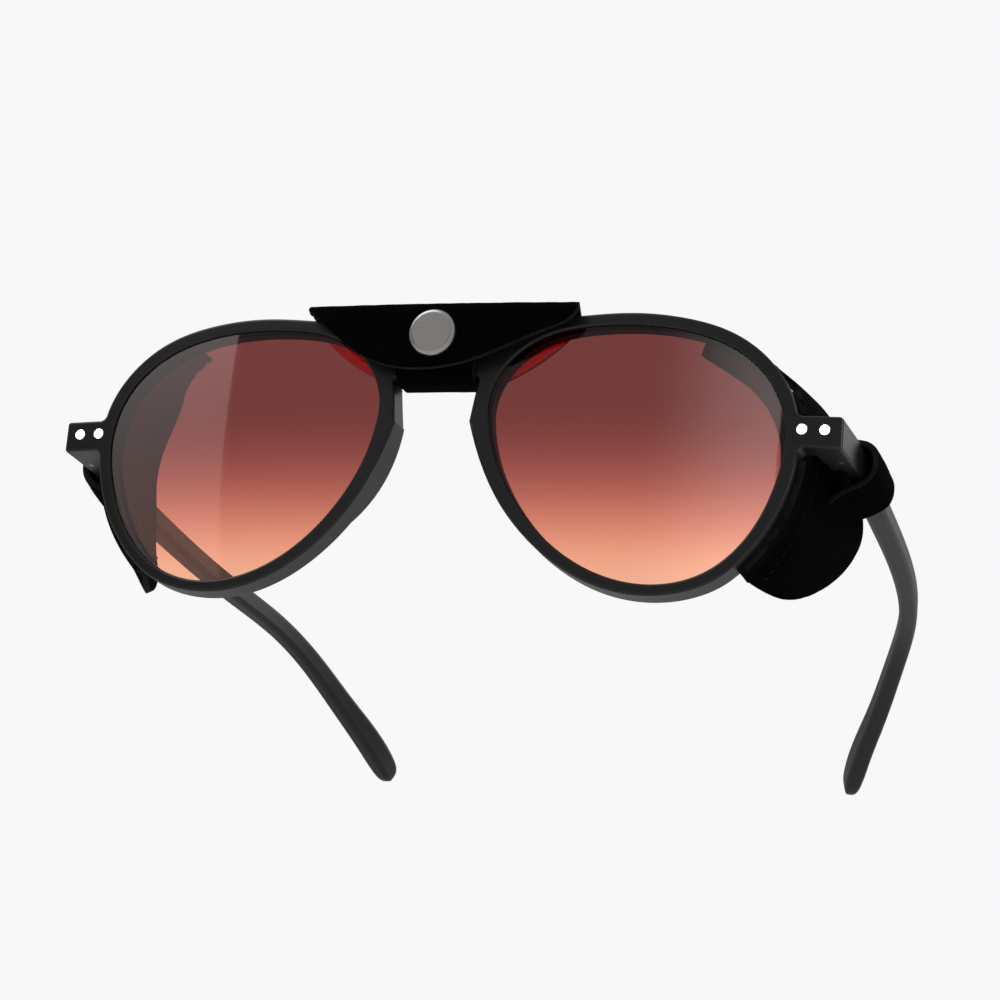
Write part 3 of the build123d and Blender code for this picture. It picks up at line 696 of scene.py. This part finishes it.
TAB_ROUND = 0.2
TAB_CORNER = 2.5
TAB_TOP_FRONT, TAB_TOP_REAR = 19.2, 14.0
TAB_PINCH = 0.03                   # how much narrower the tab is where it turns under the bridge


def tab_surface(columns=41, rows=120):
    """The tab that comes forward under the bridge and up behind the flap."""
    corner = TAB_CORNER
    front, rear, under = TAB_FRONT, TAB_REAR, TAB_UNDER
    path = [(front, TAB_TOP_FRONT), (front, under + corner)]
    path += [
        (front + corner - corner * math.cos(a), under + corner - corner * math.sin(a))
        for a in np.linspace(0, math.pi / 2, 9)[1:]
    ]
    path += [
        (rear - corner + corner * math.sin(a), under + corner - corner * math.cos(a))
        for a in np.linspace(0, math.pi / 2, 9)
    ]
    path.append((rear, TAB_TOP_REAR))
    path = np.array(path)
    length = np.concatenate([[0], np.cumsum(np.linalg.norm(np.diff(path, axis=0), axis=1))])
    spots = np.linspace(0, length[-1], rows)
    profile = np.stack([np.interp(spots, length, path[:, k]) for k in (0, 1)], axis=1)
    points = []
    for y, z in profile:
        pinch = 1 - TAB_PINCH * math.exp(-((z - under) / 1.2) ** 2)
        for j in range(columns):
            x = TAB_HALF_WIDTH * pinch * (2 * j / (columns - 1) - 1)
            points.append((x, y, z))
    return points, grid_faces(rows, columns, lambda i, j: i * columns + j)


tab = make_piece("nose_tab_leather", *tab_surface(), [black_suede, cut_leather])
make_leather(tab, LEATHER, TAB_ROUND, THIN_NAP)
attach(tab, "front")
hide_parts("nose_tab")


# ---- studio ----
FLOOR_HALF, FLOOR_Z = 3, -0.36


def add_floor():
    """A plain pale floor well below the glasses."""
    mesh = bpy.data.meshes.new("floor")
    corners = [(x * FLOOR_HALF, y * FLOOR_HALF, FLOOR_Z) for x, y in ((-1, -1), (1, -1), (1, 1), (-1, 1))]
    mesh.from_pydata(corners, [], [(0, 1, 2, 3)])
    floor = bpy.data.objects.new("floor", mesh)
    scene.collection.objects.link(floor)
    s = Shading("floor_paper")
    paper = s.ramp(s.grain(40.0), [(0.3, (0.86, 0.86, 0.86)), (0.7, (0.88, 0.88, 0.88))])
    s.link(paper, s.shader.inputs["Base Color"])
    s.shader.inputs["Roughness"].default_value = 0.9
    mesh.materials.append(s.material)


def add_softbox(name, place, target, width, height, power):
    """A rectangular light that faces a target."""
    data = bpy.data.lights.new(name, "AREA")
    data.shape = "RECTANGLE"
    data.size = width
    data.size_y = height
    data.energy = power
    light = bpy.data.objects.new(name, data)
    scene.collection.objects.link(light)
    light.location = place
    light.rotation_euler = (Vector(target) - Vector(place)).to_track_quat("-Z", "Y").to_euler()
    return light


def add_card(name, corners, left_glow, right_glow, top_glow, bottom_glow, receivers):
    """A glowing card that only the lenses mirror. Its glow changes from side to side and upwards."""
    mesh = bpy.data.meshes.new(name)
    mesh.from_pydata(corners, [], [(0, 1, 2, 3)])
    layer = mesh.uv_layers.new(name="card")
    for loop, uv in zip(layer.data, ((0, 0), (1, 0), (1, 1), (0, 1))):
        loop.uv = uv
    card = bpy.data.objects.new(name, mesh)
    scene.collection.objects.link(card)
    s = Shading(name)
    split = s.add("ShaderNodeSeparateXYZ")
    s.link(s.add("ShaderNodeUVMap", uv_map="card").outputs["UV"], split.inputs["Vector"])
    across = s.add("ShaderNodeMapRange", interpolation_type="SMOOTHSTEP")
    across.inputs["To Min"].default_value = left_glow
    across.inputs["To Max"].default_value = right_glow
    s.link(split.outputs["X"], across.inputs["Value"])
    upward = s.spread(split.outputs["Y"], bottom_glow, top_glow)
    both = s.add("ShaderNodeMath", operation="MULTIPLY")
    s.link(across.outputs["Result"], both.inputs[0])
    s.link(upward, both.inputs[1])
    glow = s.add("ShaderNodeEmission")
    s.link(both.outputs[0], glow.inputs["Strength"])
    s.link(glow.outputs[0], s.output.inputs["Surface"])
    s.tree.nodes.remove(s.shader)
    mesh.materials.append(s.material)
    card.visible_camera = False
    card.visible_diffuse = False
    card.visible_shadow = False
    card.light_linking.receiver_collection = receivers


add_floor()
lens_group = bpy.data.collections.new("lenses")
for side in ("left", "right"):
    lens_group.objects.link(nodes[f"lens_{side}"])
add_card(
    "side_card", [(-2.6, -1.5, 0.0), (-0.905, -1.5, 0.0), (-1.012, -1.5, 0.9), (-2.6, -1.5, 0.9)],
    1.0, 1.0, 2.9, 0.38, lens_group,
)
add_card(
    "front_card", [(-0.175, -1.5, 0.0), (0.06, -1.5, 0.0), (0.06, -1.5, 0.95), (-0.175, -1.5, 0.95)],
    0.16, 1.25, 2.1, 2.4, lens_group,
)
metal_group = bpy.data.collections.new("bright_metal")
for side in ("left", "right"):
    metal_group.objects.link(nodes[f"front_rivets_{side}"])
lining_group = bpy.data.collections.new("lining")
lining_group.objects.link(lining)
floor_only = bpy.data.collections.new("floor_only")
floor_only.objects.link(scene.objects["floor"])
lining_light = add_softbox("lining_light", (0.2, -0.9, -0.2), (0, 0.01, 0.02), 0.8, 0.8, 30.0)
lining_light.light_linking.receiver_collection = lining_group
lining_light.light_linking.blocker_collection = floor_only
rivet_light = add_softbox("rivet_light", (-0.75, -1.9, 0.65), (0, 0, 0), 2.6, 1.6, 60.0)
rivet_light.light_linking.receiver_collection = metal_group
add_softbox("key", (-0.9, -0.5, 1.5), (0, 0.04, 0), 1.2, 1.2, 9.0)
add_softbox("rim", (0.9, 1.1, 0.6), (0, 0.05, 0), 1.0, 1.0, 2.5)

# The lenses, the plastic and the metal mirror a room that is dim in front and bright low down behind.
SKY_SEEN = (0.939, 0.939, 0.939, 1)
DIM, BRIGHT = 0.36, 2.0
BRIGHT_TOWARDS = (0, 0.7, -0.7)
BRIGHT_FROM, BRIGHT_TO = 0.62, 0.88
world = bpy.data.worlds.new("studio")
scene.world = world
world.use_nodes = True
tree = world.node_tree
seen = tree.nodes["Background"]
seen.inputs["Color"].default_value = SKY_SEEN
lit = tree.nodes.new("ShaderNodeBackground")
lit.inputs["Color"].default_value = (1, 1, 1, 1)
towards = tree.nodes.new("ShaderNodeTexCoord")
low_behind = tree.nodes.new("ShaderNodeVectorMath")
low_behind.operation = "DOT_PRODUCT"
low_behind.inputs[1].default_value = BRIGHT_TOWARDS
glow = tree.nodes.new("ShaderNodeMapRange")
glow.interpolation_type = "SMOOTHSTEP"
glow.inputs["From Min"].default_value = BRIGHT_FROM
glow.inputs["From Max"].default_value = BRIGHT_TO
glow.inputs["To Min"].default_value = DIM
glow.inputs["To Max"].default_value = BRIGHT
tree.links.new(towards.outputs["Generated"], low_behind.inputs[0])
tree.links.new(low_behind.outputs["Value"], glow.inputs["Value"])
tree.links.new(glow.outputs["Result"], lit.inputs["Strength"])
path = tree.nodes.new("ShaderNodeLightPath")
mix = tree.nodes.new("ShaderNodeMixShader")
tree.links.new(path.outputs["Is Camera Ray"], mix.inputs["Fac"])
tree.links.new(lit.outputs[0], mix.inputs[1])
tree.links.new(seen.outputs[0], mix.inputs[2])
tree.links.new(mix.outputs[0], tree.nodes["World Output"].inputs["Surface"])
scene.view_settings.view_transform = "Standard"
